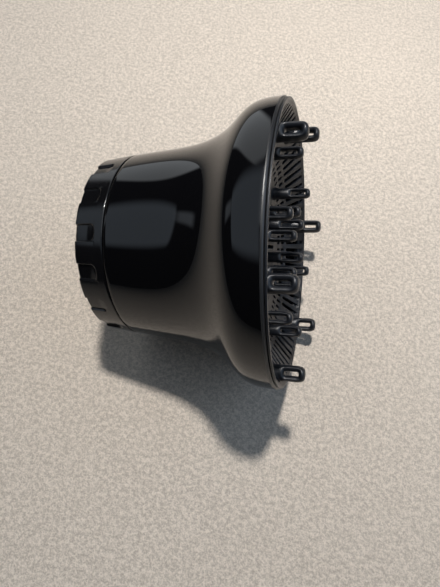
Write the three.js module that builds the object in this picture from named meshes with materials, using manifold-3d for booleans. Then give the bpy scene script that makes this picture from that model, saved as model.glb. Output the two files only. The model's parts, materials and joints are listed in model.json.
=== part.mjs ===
// Bell-shaped diffuser for a hair dryer, with a twist-to-fit clamping collar.
//
// The part is drawn along its own airflow axis first (Z = distance along the
// axis from the collar's rear face, X/Y = across it), and one group then lays it
// on its side: it rests on the collar's rear edge and on the rim of the bell,
// with the pronged face towards +X and +Z up. Lengths are in millimetres.
import * as THREE from 'three';
import * as BufferGeometryUtils from 'three/addons/utils/BufferGeometryUtils.js';
import Module from 'manifold-3d';

const wasm = await Module();
wasm.setup();

// ---------------------------------------------------------------- dimensions
const RIM_R = 79.0;             // outer radius of the bell's rim
const SEG = 48;                 // facets round the large turned parts
const FACE_SEG = 36;            // facets round the face
const HUB_SEG = 36;             // facets round the hub and its rings
const CLEAR = 0.3;              // gap between neighbouring pieces

// collar (the ring that is twisted)
const COLLAR_LENGTH = 17.0;
const COLLAR_R_REAR = 52.1;     // over the grip pads, at the rear
const COLLAR_R_FRONT = 53.8;    // over the plain band, at the front
const PADS = 16;                // raised grip pads
const PAD_STEP = 1.1;           // height of the pads over the recesses
const RECESS_LENGTH = 12.2;     // from the rear edge to the end of a recess
const RECESS_ANGLE = 9.8;       // degrees
const COLLAR_BORE = 49.0;
const MOUTH_R = 33.5;           // hole in the collar's rear flange
const FLANGE_T = 2.5;

// shell
const SHELL_START = 17.5;
const SHELL_WALL = 2.5;
const SHELL_PROFILE = [          // [distance along the axis, outer radius]
  [18.1, 53.9], [48, 56.9], [60, 59.4], [69, 62.8], [76, 67.2], [83, 73.4],
  [87.5, 76.4], [93.5, 78.4], [99, RIM_R], [103.2, RIM_R],
];
const SHELL_END = 104.0;
const WEB_S = 20.0, WEB_T = 2.5, WEB_R = 37.0;   // inner flange that carries the cam hub

// clamp
const JAWS = 6;
const PIVOT_R = 43.5;           // radius of the jaw pivots
const PIN_R = 1.5;
const JAW_S0 = 2.8, JAW_S1 = 9.7;
const CAM_PIN_R = 1.4;
const TWIST = 45;               // degrees from fully open to fully closed
const SWING = 22;               // degrees each jaw swings over that twist
const HUB_BORE = 31.0;
const HUB_PLATE = [10.0, 13.0];

// face with its prongs
const FACE_S = 105.3;           // front of the face's edge
const FACE_R = 78.3;            // outer radius of the face's edge
const FACE_T = 2.2;
const FACE_PROFILE = [           // front surface [distance along the axis, radius]
  [FACE_S - 0.5, 76.2], [103.4, 74.3], [91.6, 57.4], [87.9, 47.0], [85.6, 24.5], [85.2, 8.0],
];
const VENT_W = 2.4;
const VENTS = 78, OUTER_VENT_R = [61.2, 73.2], OUTER_VENT_END = [75.3, 101.2];
const SHORT_VENT_R = [[51.6, 54.7], [56.4, 59.5]];   // two rows of short vents behind the long ones
const INNER_VENTS = 30, INNER_VENT_R = [26.0, 45.5];
const FACE_TURN = 41.75;        // the prong rows are turned by this about the axis
const RINGS = [
  // radius, count, turn, tip, width, slot length
  { r: 69.8, n: 6, turn: 0, tip: 117.2, d: 8.6, slot: [106.6, 113.8] },
  { r: 51.0, n: 6, turn: 30, tip: 111.6, d: 6.6, slot: [99.6, 108.6] },
  { r: 20.0, n: 6, turn: 30, tip: 110.4, d: 6.4, slot: [97.4, 107.4] },
];
const SLOT_W = 2.6;
const SLOT_TURN = -24;          // every prong's slot runs through it in this one direction

const BLACK_GLOSS = { color: 0x0b0b0d, roughness: 0.12, metalness: 0 };
const BLACK_SATIN = { color: 0x121214, roughness: 0.42, metalness: 0 };
const GREY_PLASTIC = { color: 0x2a2b2e, roughness: 0.55, metalness: 0 };
const RUBBER = { color: 0x17181a, roughness: 0.85, metalness: 0 };
const STEEL = { color: 0xb9bcc0, roughness: 0.3, metalness: 1 };

// ------------------------------------------------------------------- helpers
const rad = (d) => (d * Math.PI) / 180;

function clean(geometry) {
  // position only, shared vertices merged, collapsed triangles dropped, faces out
  const g = geometry.clone();
  for (const name of Object.keys(g.attributes)) if (name !== 'position') g.deleteAttribute(name);
  g.morphAttributes = {};
  const m = BufferGeometryUtils.mergeVertices(g, 1e-4);
  const src = m.index.array, pos = m.attributes.position, out = [];
  for (let i = 0; i < src.length; i += 3) {
    const [a, b, c] = [src[i], src[i + 1], src[i + 2]];
    if (a !== b && b !== c && c !== a) out.push(a, b, c);
  }
  let volume = 0;
  const p = [new THREE.Vector3(), new THREE.Vector3(), new THREE.Vector3()];
  for (let i = 0; i < out.length; i += 3) {
    for (let k = 0; k < 3; k++) p[k].fromBufferAttribute(pos, out[i + k]);
    volume += p[0].dot(p[1].clone().cross(p[2]));
  }
  if (volume < 0) for (let i = 0; i < out.length; i += 3) [out[i + 1], out[i + 2]] = [out[i + 2], out[i + 1]];
  const r = new THREE.BufferGeometry();
  r.setAttribute('position', pos);
  r.setIndex(out);
  return r;
}

function solid(geometry) {
  const g = clean(geometry);
  return new wasm.Manifold(new wasm.Mesh({
    numProp: 3,
    vertProperties: new Float32Array(g.attributes.position.array),
    triVerts: new Uint32Array(g.index.array),
  }));
}

function toGeometry(manifold) {
  const m = manifold.getMesh();
  const g = new THREE.BufferGeometry();
  g.setAttribute('position', new THREE.BufferAttribute(new Float32Array(m.vertProperties), 3));
  g.setIndex(new THREE.BufferAttribute(new Uint32Array(m.triVerts), 1));
  g.computeVertexNormals();
  return g;
}

// A turned solid: profile of [s, r] pairs, closed on itself or on the axis.
// Its facets are centred on the +X direction.
function turned(profile, segments = SEG) {
  const pts = profile.map(([s, r]) => new THREE.Vector2(Math.max(r, 0), s));
  if (profile[0][1] > 0 || profile[profile.length - 1][1] > 0) pts.push(pts[0].clone());
  const g = new THREE.LatheGeometry(pts, segments);
  g.rotateX(Math.PI / 2);       // the turning axis becomes Z
  g.scale(1, 1, 1);
  g.rotateZ(Math.PI / segments + Math.PI / 2);
  return g;
}

function cylinder(r, s0, s1, x, y, segments = 16, rTop = r) {
  const g = new THREE.CylinderGeometry(rTop, r, s1 - s0, segments);
  g.rotateX(Math.PI / 2);
  g.translate(x, y, (s0 + s1) / 2);
  return g;
}

function box(x0, x1, y0, y1, s0, s1, turn = 0) {
  const g = new THREE.BoxGeometry(x1 - x0, y1 - y0, s1 - s0);
  g.translate((x0 + x1) / 2, (y0 + y1) / 2, (s0 + s1) / 2);
  g.rotateZ(rad(turn));
  return g;
}

function prism(outline, s0, s1) {
  const shape = new THREE.Shape(outline.map(([x, y]) => new THREE.Vector2(x, y)));
  const g = new THREE.ExtrudeGeometry(shape, { depth: s1 - s0, bevelEnabled: false, steps: 1 });
  g.translate(0, 0, s0);
  return g;
}

// union of many solids that don't touch, or that do
const join = (list) => list.reduce((a, b) => a.add(b));

const polar = (r, deg) => [r * Math.cos(rad(deg)), r * Math.sin(rad(deg))];
const turn2 = ([x, y], deg) => {
  const c = Math.cos(rad(deg)), s = Math.sin(rad(deg));
  return [x * c - y * s, x * s + y * c];
};

const diffuser = new THREE.Group();

function place(name, geometry, look) {
  const mesh = new THREE.Mesh(geometry, new THREE.MeshStandardMaterial(look));
  mesh.name = name;
  diffuser.add(mesh);
  return mesh;
}

// --------------------------------------------------------------------- shell
// One hollow bell: tapered neck, concave sweep, rounded shoulder and rim, with a
// short inner flange near its rear end that the cam hub is screwed to.
const hubScrewAngles = [30, 150, 270];
const HUB_SCREW_R = 41.0;
{
  const outer = SHELL_PROFILE.map(([s, r]) => [s, r]);
  const inner = SHELL_PROFILE.slice(1, -1).reverse().map(([s, r]) => [s, r - SHELL_WALL]);
  // the wall is measured along the normal on the steep shoulder
  for (let i = 0; i < inner.length; i++) {
    const [s] = inner[i];
    const k = SHELL_PROFILE.findIndex((q) => q[0] === s);
    const a = SHELL_PROFILE[k - 1], b = SHELL_PROFILE[k + 1];
    const l = Math.hypot(b[0] - a[0], b[1] - a[1]);
    const nx = -(b[1] - a[1]) / l, nr = (b[0] - a[0]) / l;
    inner[i] = [s - nx * SHELL_WALL, SHELL_PROFILE[k][1] - nr * SHELL_WALL];
  }
  const profile = [
    [SHELL_START, 50.6], [SHELL_START, 53.3], ...outer,
    [SHELL_END, RIM_R - 0.7], [SHELL_END, RIM_R - 3.4],
    [99.5, RIM_R - 3.4],
    ...inner.filter((_, i) => [1, 3, 5, 6].includes(SHELL_PROFILE.length - 2 - i)),
    [WEB_S + WEB_T, 51.6], [WEB_S + WEB_T, WEB_R], [WEB_S, WEB_R], [WEB_S, 50.6],
  ];
  let shell = solid(turned(profile));
  const holes = hubScrewAngles.map((a) => solid(cylinder(1.7, WEB_S - 1, WEB_S + WEB_T + 1, ...polar(HUB_SCREW_R, a), 10)));
  shell = shell.subtract(join(holes));
  place('body_shell', toGeometry(shell), BLACK_GLOSS);
}

// -------------------------------------------------------------------- collar
// Grip ring with raised pads, a rear flange round the mouth, six blind holes for
// the jaw pins and an inner groove for the snap ring.
{
  const at = (s) => COLLAR_R_REAR + ((COLLAR_R_FRONT - COLLAR_R_REAR) * s) / COLLAR_LENGTH;
  let ring = solid(turned([
    [0, MOUTH_R + 0.8], [0, COLLAR_R_REAR - 1.2], [0.9, at(0.9)], [COLLAR_LENGTH - 0.7, at(COLLAR_LENGTH)],
    [COLLAR_LENGTH, COLLAR_R_FRONT - 0.7], [COLLAR_LENGTH, 47.9], [15.4, 47.9], [15.4, COLLAR_BORE + 1],
    [13.3, COLLAR_BORE + 1], [13.3, COLLAR_BORE], [FLANGE_T, COLLAR_BORE], [FLANGE_T, MOUTH_R], [0.8, MOUTH_R],
  ], 64));
  // a recess: a shallow pocket open to the rear, with a rounded front end
  const cutters = [];
  for (let i = 0; i < PADS; i++) {
    const c = (360 / PADS) * i;
    const w = COLLAR_R_REAR * Math.sin(rad(RECESS_ANGLE / 2));
    const end = RECESS_LENGTH - 2.6;
    const shape = [[-2, -w], [end, -w]];
    for (let k = 1; k < 4; k++) {
      const t = rad(-90 + 45 * k);
      shape.push([end + 2.6 * Math.cos(t), w * Math.sin(t)]);
    }
    shape.push([end, w], [-2, w]);
    const outline = new THREE.Shape(shape.map(([x, y]) => new THREE.Vector2(x, y)));
    const g = new THREE.ExtrudeGeometry(outline, { depth: 6, bevelEnabled: false, steps: 1 });
    // outline x -> along the axis, y -> across, extrusion -> outwards
    g.applyMatrix4(new THREE.Matrix4().makeBasis(
      new THREE.Vector3(0, 0, 1), new THREE.Vector3(0, 1, 0), new THREE.Vector3(-1, 0, 0)));
    g.rotateY(-Math.atan((COLLAR_R_FRONT - COLLAR_R_REAR) / COLLAR_LENGTH) * -1);
    g.translate(COLLAR_R_REAR - PAD_STEP + 6, 0, 0);
    g.rotateZ(rad(c));
    cutters.push(solid(g));
  }
  ring = ring.subtract(join(cutters));
  const holes = [];
  for (let i = 0; i < JAWS; i++) holes.push(solid(cylinder(PIN_R + CLEAR, 0.9, FLANGE_T + 1, ...polar(PIVOT_R, 60 * i), 12)));
  ring = ring.subtract(join(holes));
  place('collar_ring', toGeometry(ring), BLACK_GLOSS);
}

// Split snap ring: sits in the collar's groove and keeps the collar on the hub.
{
  let snap = solid(turned([[13.6, 45.6], [13.6, 49.7], [15.1, 49.7], [15.1, 45.6]], HUB_SEG));
  snap = snap.subtract(solid(box(40, 55, -2.5, 2.5, 12, 17, 75)));
  place('collar_snap_ring', toGeometry(snap), STEEL);
}

// ------------------------------------------------------------------- cam hub
// Fixed plate with six cam slots; its sleeve stands on the shell's inner flange.
const camPin = [PIVOT_R - 1.6, 10.0];      // cam pin of jaw 0 with the collar open
{
  let hub = solid(turned([
    [HUB_PLATE[0], HUB_BORE], [HUB_PLATE[0], 48.6], [HUB_PLATE[1], 48.6], [HUB_PLATE[1], 45.2],
    [15.3, 45.2], [15.3, 44.2], [17.2, 44.2], [17.2, 45.2], [WEB_S - CLEAR, 45.2], [WEB_S - CLEAR, 43.0],
    [HUB_PLATE[1], 43.0], [HUB_PLATE[1], 33.4], [17.6, 33.4], [17.6, HUB_BORE],
  ], HUB_SEG));
  const bosses = hubScrewAngles.map((a) => solid(cylinder(3.4, HUB_PLATE[1] - 1, WEB_S - CLEAR, ...polar(HUB_SCREW_R, a), 10)));
  hub = hub.add(join(bosses));
  hub = hub.subtract(join(hubScrewAngles.map((a) => solid(cylinder(1.35 + CLEAR / 2, HUB_PLATE[1] + 0.6, WEB_S + 1, ...polar(HUB_SCREW_R, a), 8)))));
  // cam slots: the path of each jaw's cam pin, seen from the hub
  const path = [];
  const d = [camPin[0] - PIVOT_R, camPin[1]];
  for (let k = 0; k <= 4; k++) {
    const theta = (TWIST * k) / 4, gamma = (SWING * k) / 4;
    const [cx, cy] = turn2(d, gamma);
    path.push(turn2([PIVOT_R + cx, cy], theta));
  }
  const w = CAM_PIN_R + CLEAR;
  const left = [], right = [];
  for (let k = 0; k < path.length; k++) {
    const a = path[Math.max(0, k - 1)], b = path[Math.min(path.length - 1, k + 1)];
    const l = Math.hypot(b[0] - a[0], b[1] - a[1]);
    const n = [-(b[1] - a[1]) / l, (b[0] - a[0]) / l];
    left.push([path[k][0] + n[0] * w, path[k][1] + n[1] * w]);
    right.push([path[k][0] - n[0] * w, path[k][1] - n[1] * w]);
  }
  const cap = (at, from, steps = 4) => {
    const a0 = Math.atan2(from[1] - at[1], from[0] - at[0]);
    const out = [];
    for (let k = 1; k < steps; k++) out.push([at[0] + w * Math.cos(a0 - (Math.PI * k) / steps), at[1] + w * Math.sin(a0 - (Math.PI * k) / steps)]);
    return out;
  };
  const last = path.length - 1;
  const outline = [...left, ...cap(path[last], left[last]), ...right.reverse(), ...cap(path[0], right[right.length - 1])];
  const slots = [];
  for (let i = 0; i < JAWS; i++) {
    const g = prism(outline, HUB_PLATE[0] - 1, HUB_PLATE[1] + 0.0001);
    g.rotateZ(rad(60 * i));
    slots.push(solid(g));
  }
  hub = hub.subtract(join(slots));
  place('cam_hub', toGeometry(hub), GREY_PLASTIC);
}

// Friction ring: a rubber ring in the hub's groove that drags on the collar.
{
  const profile = [];
  for (let k = 0; k < 6; k++) profile.push([16.25 + 0.85 * Math.sin((Math.PI * k) / 3), 46.05 + 1.5 * Math.cos((Math.PI * k) / 3)]);
  place('friction_o_ring', toGeometry(solid(turned(profile, HUB_SEG))), RUBBER);
}

// Three pan-head screws through the shell's inner flange into the hub.
hubScrewAngles.forEach((a, i) => {
  const [x, y] = polar(HUB_SCREW_R, a);
  const s = WEB_S + WEB_T;
  const g = new THREE.LatheGeometry([
    [0, s + 2.3], [1.9, s + 2.1], [3.0, s + 1.2], [3.0, s + CLEAR], [1.2, s + CLEAR], [1.2, HUB_PLATE[1] + 1.4], [0, HUB_PLATE[1] + 1.0],
  ].map(([r, z]) => new THREE.Vector2(r, z)), 12);
  g.rotateX(Math.PI / 2);
  g.translate(x, y, 0);
  let screw = solid(g);
  screw = screw.subtract(solid(box(-0.45, 0.45, -1.9, 1.9, s + 1.3, s + 3).translate(x, y, 0)));
  screw = screw.subtract(solid(box(-1.9, 1.9, -0.45, 0.45, s + 1.3, s + 3).translate(x, y, 0)));
  place(`hub_screw_${i + 1}`, toGeometry(screw), STEEL);
});

// ---------------------------------------------------------------------- jaws
// Six curved jaws that swing inwards together when the collar is twisted.
{
  const heel = 4.6;
  const inner = 35.6, outer = 45.6, tipAngle = 46, padFrom = 27, padTo = 45;
  const outline = [];
  for (let k = 0; k <= 6; k++) {         // round heel behind the pivot
    const t = rad(20 - (220 * k) / 6);
    outline.push([PIVOT_R + heel * Math.cos(t), heel * Math.sin(t)]);
  }
  const inside = [[inner + 2.6, 9], [inner + 0.6, 15], [inner, 22], [inner, 28], [inner, 34], [inner, 40], [inner + 0.2, tipAngle]];
  for (const [r, a] of inside) outline.push(polar(r, a));
  const outside = [[outer - 2.6, tipAngle + 0.6], [outer - 0.3, tipAngle - 3], [outer, 38], [outer, 30], [outer, 22], [outer + 0.6, 15], [outer + 1.6, 9]];
  for (const [r, a] of outside) outline.push(polar(r, a));
  const rubber = [];
  for (let a = padFrom; a <= padTo + 0.01; a += 4.5) rubber.push(polar(33.3, a));
  const back = [];
  for (let a = padTo; a >= padFrom - 0.01; a -= 4.5) back.push(polar(inner - CLEAR, a));
  const padOutline = [...rubber, ...back];
  for (let i = 0; i < JAWS; i++) {
    let jaw = solid(prism(outline, JAW_S0, JAW_S1));
    jaw = jaw.subtract(solid(cylinder(PIN_R + CLEAR, 0, 12, PIVOT_R, 0, 12)));
    jaw = jaw.add(solid(cylinder(CAM_PIN_R, JAW_S1 - 1, 12.6, ...camPin, 12)));
    const g = toGeometry(jaw);
    g.rotateZ(rad(60 * i));
    place(`clamp_jaw_${i + 1}`, g, GREY_PLASTIC);

    const pad = toGeometry(solid(prism(padOutline, JAW_S0 + 0.6, JAW_S1 - 0.6)));
    pad.rotateZ(rad(60 * i));
    place(`jaw_pad_${i + 1}`, pad, RUBBER);

    place(`jaw_pin_${i + 1}`, toGeometry(solid(cylinder(PIN_R, 1.2, 9.5, ...polar(PIVOT_R, 60 * i), 12))), STEEL);
  }
}

// ---------------------------------------------------------------------- face
// Concave face with three rings of slotted prongs and rows of radial vents.
{
  const front = FACE_PROFILE;
  const back = [];
  for (let i = front.length - 1; i >= 1; i--) {
    const a = front[i - 1], b = front[Math.min(i + 1, front.length - 1)];
    const l = Math.hypot(b[0] - a[0], b[1] - a[1]);
    // the normal that points away from the prongs
    if (i !== 1) back.push([front[i][0] + ((b[1] - a[1]) / l) * FACE_T, front[i][1] - ((b[0] - a[0]) / l) * FACE_T]);
  }
  let face = solid(turned([
    [front[front.length - 1][0], 0], ...front.slice().reverse(),
    [FACE_S, 76.8], [FACE_S, FACE_R - 0.3], [FACE_S - 0.3, FACE_R], [SHELL_END + CLEAR, FACE_R], [SHELL_END + CLEAR, RIM_R - 3.9],
    [99.6, RIM_R - 3.9], [99.6, 73.4],
    ...back.slice().reverse().filter(([s]) => s < 97.5), [front[front.length - 1][0] - FACE_T, 0],
  ], FACE_SEG));

  const cuts = [];
  const vent = (r0, r1, deg) => cuts.push(solid(box(r0, r1, -VENT_W / 2, VENT_W / 2, 70, 112, deg)));
  const taken = (r0, r1, deg) => RINGS.some((k) => r0 < k.r + k.d / 2 + 0.8 && r1 > k.r - k.d / 2 - 0.8
    && [...Array(k.n).keys()].some((i) => {
      const d = Math.abs(((deg - k.turn - (360 / k.n) * i) % 360 + 540) % 360 - 180);
      return d < ((k.d / 2 + VENT_W / 2 + 0.5) / k.r) * (180 / Math.PI);
    }));
  for (let i = 0; i < VENTS; i++) {
    const deg = (360 / VENTS) * i;
    if (!taken(...OUTER_VENT_R, deg)) {
      vent(...OUTER_VENT_R, deg);
      // the outer end runs on as a blind groove in front of the skirt
      cuts.push(solid(box(OUTER_VENT_R[1] - 0.5, OUTER_VENT_END[0], -VENT_W / 2, VENT_W / 2, OUTER_VENT_END[1], 112, deg)));
    }
    for (const row of SHORT_VENT_R) if (!taken(...row, deg)) vent(...row, deg);
  }
  for (let i = 0; i < INNER_VENTS; i++) {
    const deg = (360 / INNER_VENTS) * i;
    if (!taken(...INNER_VENT_R, deg)) vent(...INNER_VENT_R, deg);
  }
  face = face.subtract(join(cuts));

  for (const k of RINGS) {
    for (let i = 0; i < k.n; i++) {
      // where the prong meets the face
      let j = 1;
      while (j < front.length - 1 && front[j][1] > k.r) j++;
      const t = (k.r - front[j - 1][1]) / (front[j][1] - front[j - 1][1]);
      const foot = front[j - 1][0] + t * (front[j][0] - front[j - 1][0]);
      const h = k.d * 0.42;
      const g = new THREE.LatheGeometry([
        [0, foot - 1.2], [1.03, foot - 1.2], [1, k.tip - h], [0.72, k.tip - h * 0.22], [0, k.tip],
      ].map(([r, s]) => new THREE.Vector2(r, s)), 10);
      g.rotateX(Math.PI / 2);
      g.rotateZ(Math.PI / 10);
      g.scale(k.d / 2, k.d / 2, 1);
      g.translate(k.r, 0, 0);
      let prong = solid(g);
      const turn = k.turn + (360 / k.n) * i;
      const slot = box(-6, 6, -SLOT_W / 2, SLOT_W / 2, k.slot[0], k.slot[1], SLOT_TURN - turn);
      slot.translate(k.r, 0, 0);
      prong = prong.subtract(solid(slot));
      face = face.add(prong.rotate([0, 0, turn]));
    }
  }
  face = face.rotate([0, 0, FACE_TURN]);
  place('diffuser_face', toGeometry(face), BLACK_SATIN);
}

// ------------------------------------------------------------ laying it down
// The tilt at which the collar's rear edge and the bell's rim both touch the floor.
const padEdge = [0.9, (COLLAR_R_REAR + (COLLAR_R_FRONT - COLLAR_R_REAR) * 0.9 / COLLAR_LENGTH) * Math.cos(rad(180 / PADS - (360 / PADS - RECESS_ANGLE) / 2))];
const slope = Math.max(...SHELL_PROFILE.map(([s, r]) => (r * Math.cos(Math.PI / SEG) - padEdge[1]) / (s - padEdge[0])));
const TILT = Math.atan(slope);

diffuser.name = 'dryer_diffuser';
diffuser.rotation.y = Math.PI / 2 - TILT;
diffuser.updateMatrixWorld(true);
const bounds = new THREE.Box3();
diffuser.traverse((o) => { if (o.isMesh) bounds.expandByObject(o, true); });
diffuser.position.set(-(bounds.min.x + bounds.max.x) / 2, -(bounds.min.y + bounds.max.y) / 2, -bounds.min.z);

export default diffuser;
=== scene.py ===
"""Looks of a bell-shaped hair dryer diffuser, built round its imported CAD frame.

All the lengths in the builders below are millimetres in the part's own turning
frame (x, y across the airflow axis, s along it from the collar's rear face).
The frame's own joint says where that axis lies, so the pieces land on the CAD.
"""

import json
import math

import bmesh
import bpy
import numpy as np
from mathutils import Matrix, Vector

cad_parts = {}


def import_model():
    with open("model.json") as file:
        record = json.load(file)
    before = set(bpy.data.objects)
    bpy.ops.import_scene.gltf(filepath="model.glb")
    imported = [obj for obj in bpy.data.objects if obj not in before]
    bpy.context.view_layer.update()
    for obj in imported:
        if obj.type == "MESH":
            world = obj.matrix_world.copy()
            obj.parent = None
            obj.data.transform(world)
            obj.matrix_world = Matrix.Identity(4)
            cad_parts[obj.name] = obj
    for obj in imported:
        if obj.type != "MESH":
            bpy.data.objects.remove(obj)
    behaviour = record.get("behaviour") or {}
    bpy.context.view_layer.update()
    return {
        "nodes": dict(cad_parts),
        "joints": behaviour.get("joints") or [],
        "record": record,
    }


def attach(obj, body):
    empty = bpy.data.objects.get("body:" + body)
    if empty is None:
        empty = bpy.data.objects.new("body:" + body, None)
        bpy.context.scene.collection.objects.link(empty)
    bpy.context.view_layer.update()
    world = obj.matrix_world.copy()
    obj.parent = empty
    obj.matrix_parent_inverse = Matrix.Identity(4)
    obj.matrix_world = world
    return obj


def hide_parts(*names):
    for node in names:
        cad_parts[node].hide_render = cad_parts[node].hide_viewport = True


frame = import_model()

RECORD = frame["record"]
BODY_OF = {n: b for b, ns in RECORD["behaviour"]["bodies"].items() for n in ns}
SLOT_OF = {p["node"]: p["material_slot"] for p in RECORD["subparts"]}

# ------------------------------------------------------------ the turning frame
twist = next(j for j in frame["joints"] if j["name"] == "collar_twist")
AX = Vector(twist["axis"]).normalized()
EX = Vector((AX.z, 0.0, -AX.x))
EY = Vector((0.0, 1.0, 0.0))
_on_axis = Vector(twist["pos_m"])
_rear = min(v.co.dot(AX) for v in frame["nodes"]["collar_ring"].data.vertices)
ORIGIN = _on_axis + AX * (_rear - _on_axis.dot(AX))
TO_WORLD = np.array([[EX.x, EY.x, AX.x], [EX.y, EY.y, AX.y], [EX.z, EY.z, AX.z]])
OFFSET = np.array(ORIGIN)


def world(points):
    """Points in millimetres of the turning frame, as metres of the row frame."""
    return np.asarray(points, float) @ TO_WORLD.T * 0.001 + OFFSET


def rad(d):
    return d * math.pi / 180


# ------------------------------------------------------------------ dimensions
RIM_R = 79.0
FACE_TURN = 41.75
FACE_S, FACE_R = 105.3, 78.3
PADS, PAD_STEP, RECESS_LENGTH, RECESS_ANGLE = 16, 1.1, 12.2, 9.8
JAWS, PIVOT_R, SWING, TWIST = 6, 43.5, 22.05, 45.0
SCREW_ANGLES, SCREW_R = (30, 150, 270), 41.0
RINGS = [
    dict(r=69.8, turn=0, tip=117.2, d=8.6, slot=(106.6, 113.8)),
    dict(r=51.0, turn=30, tip=111.6, d=6.6, slot=(99.6, 108.6)),
    dict(r=20.0, turn=30, tip=110.4, d=6.4, slot=(97.4, 107.4)),
]
SLOT_W, SLOT_TURN = 2.15, -24.0
VENTS, VENT_W, INNER_VENTS = 78, 2.4, 30
LONG_VENT, SHORT_VENTS, INNER_VENT = (61.2, 75.3), ((51.6, 54.7), (56.4, 59.5)), (26.0, 45.5)


def natural(xs, ys, x):
    """Natural cubic spline: smooth curvature, for the flowing bell."""
    xs, ys = np.asarray(xs, float), np.asarray(ys, float)
    n, h = len(xs), np.diff(xs)
    a = np.zeros((n, n))
    b = np.zeros(n)
    a[0, 0] = a[-1, -1] = 1
    for i in range(1, n - 1):
        a[i, i - 1], a[i, i], a[i, i + 1] = h[i - 1], 2 * (h[i - 1] + h[i]), h[i]
        b[i] = 6 * ((ys[i + 1] - ys[i]) / h[i] - (ys[i] - ys[i - 1]) / h[i - 1])
    m = np.linalg.solve(a, b)
    x = np.asarray(x, float)
    k = np.clip(np.searchsorted(xs, x) - 1, 0, n - 2)
    t, u = (x - xs[k]), (xs[k + 1] - x)
    return (m[k] * u ** 3 + m[k + 1] * t ** 3) / (6 * h[k]) + \
        (ys[k] / h[k] - m[k] * h[k] / 6) * u + (ys[k + 1] / h[k] - m[k + 1] * h[k] / 6) * t


# The bell is drawn by the angle of its wall to the axis, and then summed up into
# a radius, so that its reflections flow without a kink.
_bs = np.linspace(18.1, 102.4, 1200)
_angle = np.clip(natural([17.5, 38, 52, 62, 70.5, 78, 82.5, 87, 91.5, 96, 102.4],
                         [6.0, 5.4, 9.8, 18.2, 28.6, 40.3, 41.4, 28.6, 13.6, 5.6, 0.0], _bs), 0, 60)
_br = 53.90 + np.concatenate([[0], np.cumsum(np.tan(np.radians((_angle[1:] + _angle[:-1]) / 2)) * np.diff(_bs))])
_br = 53.90 + (_br - 53.90) * (RIM_R - 53.90) / (_br[-1] - 53.90)


def bell_r(s):
    return np.interp(s, _bs, _br)


# Front surface of the face: conical slope that runs out into a shallow dish.
FACE_RS = [0.0, 8.0, 24.5, 47.0, 57.4, 74.3, 76.2]
FACE_SS = [85.15, 85.2, 85.6, 87.9, 91.6, 103.4, 104.75]
_fr = np.linspace(0, 77, 1541)
_fs = np.interp(_fr, FACE_RS, FACE_SS)
_k = np.exp(-0.5 * (np.arange(-60, 61) * 0.05 / 1.5) ** 2)
_fs_smooth = np.convolve(np.pad(_fs, 60, mode="reflect", reflect_type="odd"), _k / _k.sum(), mode="valid")
_far = np.clip((_fr - 72.5) / 1.5, 0, 1)
_fs = _fs_smooth * (1 - _far) + _fs * _far


def face_s(r):
    return np.interp(r, _fr, _fs)


# --------------------------------------------------------------------- meshes
def finish_mesh(name, verts, faces, sharp=38):
    """verts in millimetres of the turning frame; faces of any size."""
    me = bpy.data.meshes.new(name)
    me.from_pydata([tuple(v) for v in world(verts)], [], [tuple(int(i) for i in f) for f in faces])
    me.validate()
    me.update()
    bm = bmesh.new()
    bm.from_mesh(me)
    bmesh.ops.recalc_face_normals(bm, faces=bm.faces)
    bm.to_mesh(me)
    bm.free()
    ob = bpy.data.objects.new(name, me)
    bpy.context.scene.collection.objects.link(ob)
    shade(ob, sharp)
    return ob


def shade(ob, sharp=38):
    me = ob.data
    me.polygons.foreach_set("use_smooth", [True] * len(me.polygons))
    me.set_sharp_from_angle(angle=rad(sharp))
    me.update()


def lathe(profile, n, a0=0.0):
    """A turned ring. profile: closed loop of (s, r), all r > 0."""
    p = np.asarray(profile, float)
    a = np.radians(a0 + np.arange(n) * 360.0 / n)
    m = len(p)
    v = np.empty((n, m, 3))
    v[:, :, 0] = np.cos(a)[:, None] * p[None, :, 1]
    v[:, :, 1] = np.sin(a)[:, None] * p[None, :, 1]
    v[:, :, 2] = p[None, :, 0]
    i, j = np.meshgrid(np.arange(n), np.arange(m), indexing="ij")
    i2, j2 = (i + 1) % n, (j + 1) % m
    f = np.stack([i * m + j, i2 * m + j, i2 * m + j2, i * m + j2], -1).reshape(-1, 4)
    return v.reshape(-1, 3), f


def spun(profile, n, x=0.0, y=0.0, a0=0.0):
    """A turned solid that starts and ends on its own axis, at x, y."""
    p = np.asarray(profile, float)
    a = np.radians(a0 + np.arange(n) * 360.0 / n)
    inner = p[1:-1]
    m = len(inner)
    v = [(x, y, p[0][0])]
    for k in range(n):
        v += [(x + r * math.cos(a[k]), y + r * math.sin(a[k]), s) for s, r in inner]
    v.append((x, y, p[-1][0]))
    last = len(v) - 1
    f = []
    for k in range(n):
        b, c = 1 + k * m, 1 + ((k + 1) % n) * m
        f.append((0, c, b))
        f += [(b + j, c + j, c + j + 1, b + j + 1) for j in range(m - 1)]
        f.append((last, b + m - 1, c + m - 1))
    return np.array(v), f


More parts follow.
